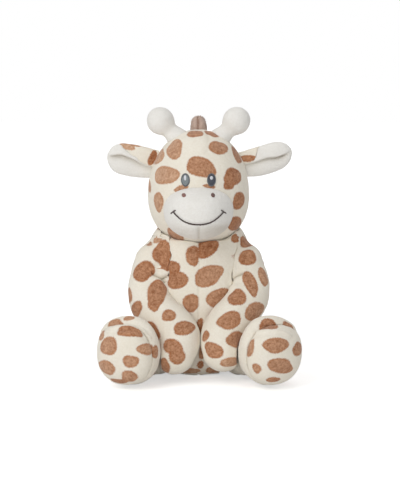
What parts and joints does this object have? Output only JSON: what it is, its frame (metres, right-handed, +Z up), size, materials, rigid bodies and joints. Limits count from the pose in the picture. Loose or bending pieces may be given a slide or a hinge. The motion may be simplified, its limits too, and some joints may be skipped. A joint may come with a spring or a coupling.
{
  "type": "plush giraffe",
  "caption": "Seated soft plush giraffe toy with printed spots, embroidered face, leaf ears, knob horns, hair ridge, sewn arms, legs and tail that flex.",
  "frame": {"origin": "middle of the flat seat, on the surface that the toy sits on", "axes": "+Z up along the seated height, -Y the way the face looks, +X the toy's own left"},
  "size_m": [0.18, 0.1676, 0.2454],
  "materials": {
    "cream_pile": "short dense plush pile, cream with printed tan spots",
    "white_pile": "short dense plush pile, off-white and plain",
    "brown_pile": "long brown pile",
    "grey_thread": "satin stitch embroidery",
    "white_thread": "satin stitch embroidery",
    "brown_thread": "satin stitch embroidery",
    "wadding": "loose polyester fibre",
    "pouch_cloth": "plain woven pouch of pellets"
  },
  "bodies": {
    "torso": {"torso_skin": "cream_pile", "torso_filling": "wadding", "bean_pouch": "pouch_cloth"},
    "neck": {"neck_filling": "wadding"},
    "head": {"head_skin": "cream_pile", "head_filling": "wadding", "muzzle_skin": "white_pile", "muzzle_filling": "wadding", "eye_left": "grey_thread", "eye_right": "grey_thread", "eye_glint_left": "white_thread", "eye_glint_right": "white_thread", "nostril_left": "brown_thread", "nostril_right": "brown_thread", "mouth": "brown_thread", "horn_skin_left": "white_pile", "horn_skin_right": "white_pile", "horn_filling_left": "wadding", "horn_filling_right": "wadding", "mane": "brown_pile"},
    "ear_left": {"ear_outside_left": "cream_pile", "ear_lining_left": "white_pile"},
    "arm_left": {"arm_skin_left": "cream_pile", "arm_filling_left": "wadding"},
    "leg_left": {"leg_skin_left": "cream_pile", "leg_filling_left": "wadding", "sole_left": "cream_pile"},
    "ear_right": {"ear_outside_right": "cream_pile", "ear_lining_right": "white_pile"},
    "arm_right": {"arm_skin_right": "cream_pile", "arm_filling_right": "wadding"},
    "leg_right": {"leg_skin_right": "cream_pile", "leg_filling_right": "wadding", "sole_right": "cream_pile"},
    "tail": {"tail": "cream_pile", "tail_tuft": "brown_pile"}
  },
  "joints": [
    {"name": "neck_turn", "type": "hinge", "parent": "torso", "child": "neck", "pos_m": [0, 0, 0.162], "axis": [0, 0, 1], "range_deg": [-30, 30]},
    {"name": "head_nod", "type": "hinge", "parent": "neck", "child": "head", "pos_m": [0, 0, 0.162], "axis": [1, 0, 0], "range_deg": [-20, 4]},
    {"name": "ear_fold_left", "type": "hinge", "parent": "head", "child": "ear_left", "pos_m": [0.04315, 0.003, 0.19286], "axis": [-0.2769, 0, 0.9609], "range_deg": [-20, 20]},
    {"name": "shoulder_left", "type": "hinge", "parent": "torso", "child": "arm_left", "pos_m": [0.043, -0.014, 0.1045], "axis": [1, 0, 0], "range_deg": [-70, 0]},
    {"name": "hip_left", "type": "hinge", "parent": "torso", "child": "leg_left", "pos_m": [0.038, -0.024, 0.017], "axis": [1, 0, 0], "range_deg": [0, 80]},
    {"name": "ear_fold_right", "type": "hinge", "parent": "head", "child": "ear_right", "pos_m": [-0.04315, 0.003, 0.19286], "axis": [0.2769, 0, 0.9609], "range_deg": [-20, 20]},
    {"name": "shoulder_right", "type": "hinge", "parent": "torso", "child": "arm_right", "pos_m": [-0.043, -0.014, 0.1045], "axis": [1, 0, 0], "range_deg": [-70, 0]},
    {"name": "hip_right", "type": "hinge", "parent": "torso", "child": "leg_right", "pos_m": [-0.038, -0.024, 0.017], "axis": [1, 0, 0], "range_deg": [0, 80]},
    {"name": "tail_swing", "type": "hinge", "parent": "torso", "child": "tail", "pos_m": [0, 0.04969, 0.048], "axis": [1, 0, 0], "range_deg": [0, 60]}
  ]
}
